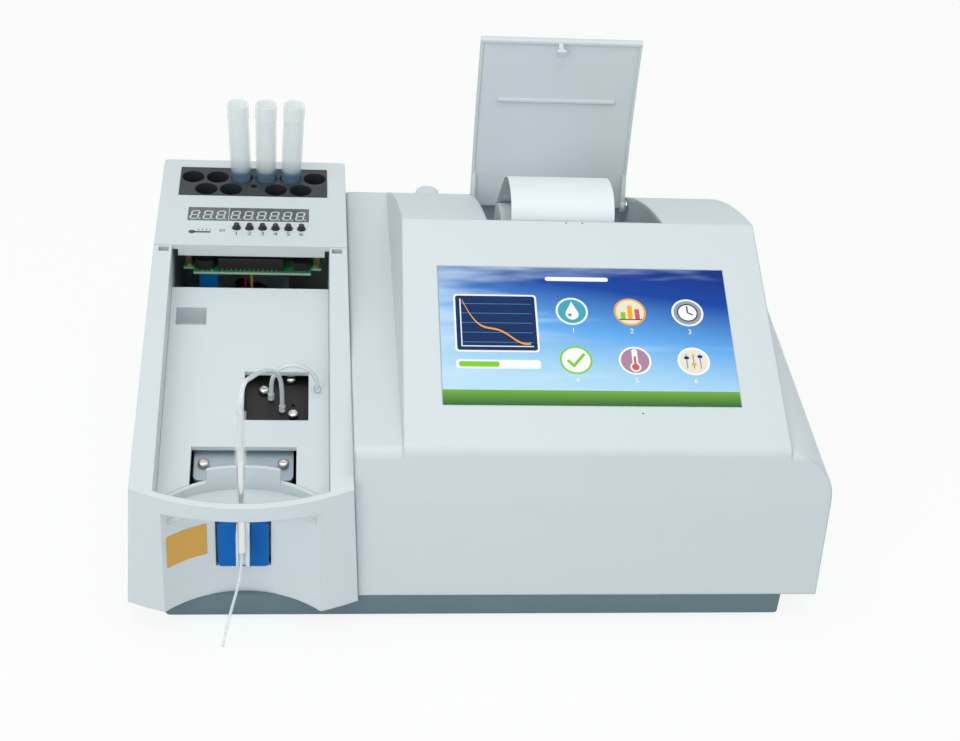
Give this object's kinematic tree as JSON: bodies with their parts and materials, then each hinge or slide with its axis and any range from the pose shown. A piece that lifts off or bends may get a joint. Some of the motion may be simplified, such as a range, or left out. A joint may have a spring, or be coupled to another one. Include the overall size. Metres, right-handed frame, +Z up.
{
  "type": "benchtop chemistry analyzer",
  "caption": "Semi-automatic chemistry analyzer with a sloped touch screen, a lidded receipt printer and a side module with an incubator head, flow cell and sample probe",
  "frame": {"origin": "on the table under the middle of the instrument, at the bottom of its rubber feet", "axes": "+X to the right, +Y to the rear, +Z up"},
  "size_m": [0.3662, 0.2794, 0.2233],
  "materials": {
    "housing_plastic": "fine-textured pale blue-grey ABS",
    "base_plastic": "slate grey moulded plastic",
    "black_plastic": "black moulded plastic",
    "screen_glass": "printed touch glass over a lit screen",
    "smoked_window": "smoked display window",
    "rubber": "black rubber",
    "steel": "bare steel",
    "chrome": "nickel-plated screws",
    "aluminium": "dark anodised aluminium block",
    "plate": "satin aluminium sheet",
    "black_metal": "black anodised aluminium",
    "circuit_board": "green solder mask",
    "clear_plastic": "clear flexible tube",
    "frosted_plastic": "translucent polypropylene",
    "blue_plastic": "blue moulded plastic",
    "light_plastic": "light grey plastic",
    "label": "amber vinyl sticker",
    "paper": "white thermal paper",
    "ribbon": "blue flat cable",
    "wire": "insulated wire",
    "lamp_glass": "clear bulb",
    "inner_plastic": "pale grey liner plastic"
  },
  "bodies": {
    "instrument": {"aspiration_tube": "clear_plastic", "base_pan": "base_plastic", "bracket_plate": "plate", "channel_floor": "housing_plastic", "cover_screws": "steel", "digit_modules": "black_plastic", "display_window": "smoked_window", "fan_frame": "black_plastic", "flow_cell_block": "black_metal", "fluid_fittings": "clear_plastic", "gear_motors": "steel", "head_board": "circuit_board", "head_components": "black_plastic", "head_cover": "housing_plastic", "head_wires": "wire", "heater_block": "aluminium", "indicator_led": "light_plastic", "lamp": "lamp_glass", "lcd_module": "steel", "loop_tube_a": "clear_plastic", "loop_tube_b": "clear_plastic", "main_board": "circuit_board", "module_housing": "housing_plastic", "optics_bench": "black_metal", "paper_strip": "paper", "power_supply": "steel", "printer_bay": "inner_plastic", "printer_frame": "black_plastic", "probe_cup": "housing_plastic", "probe_guide": "light_plastic", "probe_needle": "steel", "probe_sleeve": "clear_plastic", "pump_head": "light_plastic", "rear_panel": "steel", "rear_sockets": "black_plastic", "ribbon_cable": "ribbon", "rubber_feet": "rubber", "side_label": "label", "small_screws": "chrome", "touch_panel": "screen_glass", "trigger_switch": "black_plastic", "upper_housing": "housing_plastic", "waste_outlet": "light_plastic"},
    "lid": {"printer_lid": "housing_plastic"},
    "trigger": {"trigger_plate": "blue_plastic"},
    "roll": {"paper_roll": "paper"},
    "platen": {"platen_roller": "rubber"},
    "rotor": {"pump_rotor": "black_plastic"},
    "filters": {"filter_wheel": "black_metal"},
    "fan": {"fan_rotor": "black_plastic"},
    "rocker": {"power_rocker": "black_plastic"},
    "key_1": {"button_1": "black_plastic"},
    "key_2": {"button_2": "black_plastic"},
    "key_3": {"button_3": "black_plastic"},
    "key_4": {"button_4": "black_plastic"},
    "key_5": {"button_5": "black_plastic"},
    "key_6": {"button_6": "black_plastic"},
    "tube_1": {"test_tube_1": "frosted_plastic"},
    "tube_2": {"test_tube_2": "frosted_plastic"},
    "tube_3": {"test_tube_3": "frosted_plastic"}
  },
  "joints": [
    {"name": "lid_hinge", "type": "hinge", "parent": "instrument", "child": "lid", "pos_m": [0.05285, 0.112, 0.119], "axis": [1, 0, 0], "range_deg": [0, 70], "deforming": ["paper_strip"]},
    {"name": "key_1_press", "type": "slide", "parent": "instrument", "child": "key_1", "axis": [0, 0, -1], "range_m": [0, 0.0008], "stiffness_N_per_m": 60},
    {"name": "key_2_press", "type": "slide", "parent": "instrument", "child": "key_2", "axis": [0, 0, -1], "range_m": [0, 0.0008], "stiffness_N_per_m": 60},
    {"name": "key_3_press", "type": "slide", "parent": "instrument", "child": "key_3", "axis": [0, 0, -1], "range_m": [0, 0.0008], "stiffness_N_per_m": 60},
    {"name": "key_4_press", "type": "slide", "parent": "instrument", "child": "key_4", "axis": [0, 0, -1], "range_m": [0, 0.0008], "stiffness_N_per_m": 60},
    {"name": "key_5_press", "type": "slide", "parent": "instrument", "child": "key_5", "axis": [0, 0, -1], "range_m": [0, 0.0008], "stiffness_N_per_m": 60},
    {"name": "key_6_press", "type": "slide", "parent": "instrument", "child": "key_6", "axis": [0, 0, -1], "range_m": [0, 0.0008], "stiffness_N_per_m": 60},
    {"name": "trigger_press", "type": "slide", "parent": "instrument", "child": "trigger", "axis": [0, 1, 0], "range_m": [0, 0.002], "stiffness_N_per_m": 150},
    {"name": "tube_1_lift", "type": "slide", "parent": "instrument", "child": "tube_1", "axis": [-0.0332, 0, 0.9995], "range_m": [0, 0.09]},
    {"name": "tube_2_lift", "type": "slide", "parent": "instrument", "child": "tube_2", "axis": [0, 0, 1], "range_m": [0, 0.09]},
    {"name": "tube_3_lift", "type": "slide", "parent": "instrument", "child": "tube_3", "axis": [0.0332, 0, 0.9995], "range_m": [0, 0.09]},
    {"name": "roll_spin", "type": "hinge", "parent": "instrument", "child": "roll", "pos_m": [0.0467, 0.075, 0.118], "axis": [1, 0, 0], "continuous": true},
    {"name": "platen_spin", "type": "hinge", "parent": "instrument", "child": "platen", "pos_m": [0.0467, 0.02453, 0.1485], "axis": [1, 0, 0], "continuous": true},
    {"name": "pump_spin", "type": "hinge", "parent": "instrument", "child": "rotor", "pos_m": [-0.125, 0.095, 0.05], "axis": [0, 0, 1], "continuous": true},
    {"name": "filter_turn", "type": "hinge", "parent": "instrument", "child": "filters", "pos_m": [-0.13, 0.0005, 0.05], "axis": [0, 1, 0], "continuous": true},
    {"name": "fan_spin", "type": "hinge", "parent": "instrument", "child": "fan", "pos_m": [0.06, 0.1212, 0.062], "axis": [0, 1, 0], "continuous": true},
    {"name": "power_switch", "type": "hinge", "parent": "instrument", "child": "rocker", "pos_m": [0.1025, 0.1257, 0.066], "axis": [1, 0, 0], "range_deg": [-16, 0]}
  ],
  "couplings": [
    {"joint": "platen_spin", "follows": "roll_spin", "ratio": 4.5556}
  ]
}
